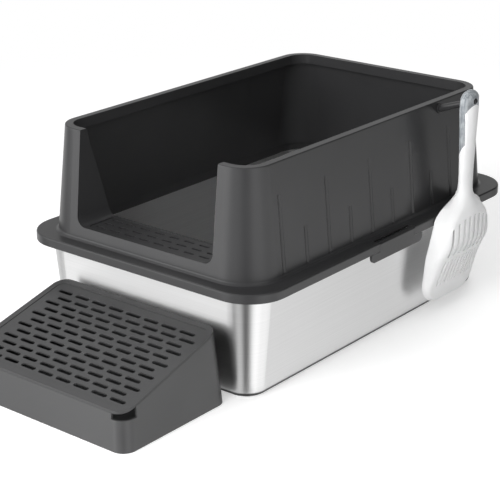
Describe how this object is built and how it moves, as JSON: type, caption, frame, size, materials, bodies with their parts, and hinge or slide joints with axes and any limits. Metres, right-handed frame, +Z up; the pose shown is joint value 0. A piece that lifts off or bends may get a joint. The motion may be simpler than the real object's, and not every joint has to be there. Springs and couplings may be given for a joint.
{
  "type": "high-sided cat litter box",
  "caption": "High-sided open-top litter box: steel pan, clip-on surround with a cut-out entrance, side latches, hanging scoop and a separate perforated step.",
  "frame": {"origin": "middle of the pan's flat base, on the floor", "axes": "+Z up, the entrance and the step face -Y, the scoop hangs on the +X side"},
  "size_m": [0.4314, 0.7714, 0.3225],
  "materials": {
    "steel": "satin drawn steel",
    "pin_steel": "plain",
    "grey_plastic": "fine satin texture",
    "latch_plastic": "fine satin texture",
    "step_plastic": "fine satin texture",
    "white_plastic": "semi-gloss",
    "grip_rubber": "soft-touch",
    "foot_rubber": "matte"
  },
  "bodies": {
    "pan": {"pan": "steel"},
    "enclosure": {"enclosure": "grey_plastic", "entry_grid": "grey_plastic", "latch_pin_right": "pin_steel", "latch_pin_left": "pin_steel", "scoop_hook": "grey_plastic"},
    "latch_right": {"latch_right": "latch_plastic"},
    "latch_left": {"latch_left": "latch_plastic"},
    "scoop": {"scoop_blade": "white_plastic", "scoop_grip": "grip_rubber"},
    "step": {"step_base": "step_plastic", "step_foot_fr": "foot_rubber", "step_foot_fl": "foot_rubber", "step_foot_br": "foot_rubber", "step_foot_bl": "foot_rubber"},
    "step_lid": {"step_lid": "step_plastic"}
  },
  "joints": [
    {"name": "enclosure_lift", "type": "slide", "parent": "pan", "child": "enclosure", "axis": [0, 0, 1], "range_m": [0, 0.15]},
    {"name": "latch_right_turn", "type": "hinge", "parent": "enclosure", "child": "latch_right", "pos_m": [0.1971, 0, 0.15], "axis": [0, -1, 0], "range_deg": [0, 100]},
    {"name": "latch_left_turn", "type": "hinge", "parent": "enclosure", "child": "latch_left", "pos_m": [-0.1971, 0, 0.15], "axis": [0, 1, 0], "range_deg": [0, 100]},
    {"name": "scoop_off", "type": "slide", "parent": "enclosure", "child": "scoop", "axis": [0.9397, 0, 0.342], "range_m": [0, 0.06]},
    {"name": "step_away", "type": "slide", "parent": "pan", "child": "step", "axis": [0, -1, 0], "range_m": [0, 0.2]},
    {"name": "step_lid_lift", "type": "slide", "parent": "step", "child": "step_lid", "axis": [0, -0.342, 0.9397], "range_m": [0, 0.08]}
  ]
}
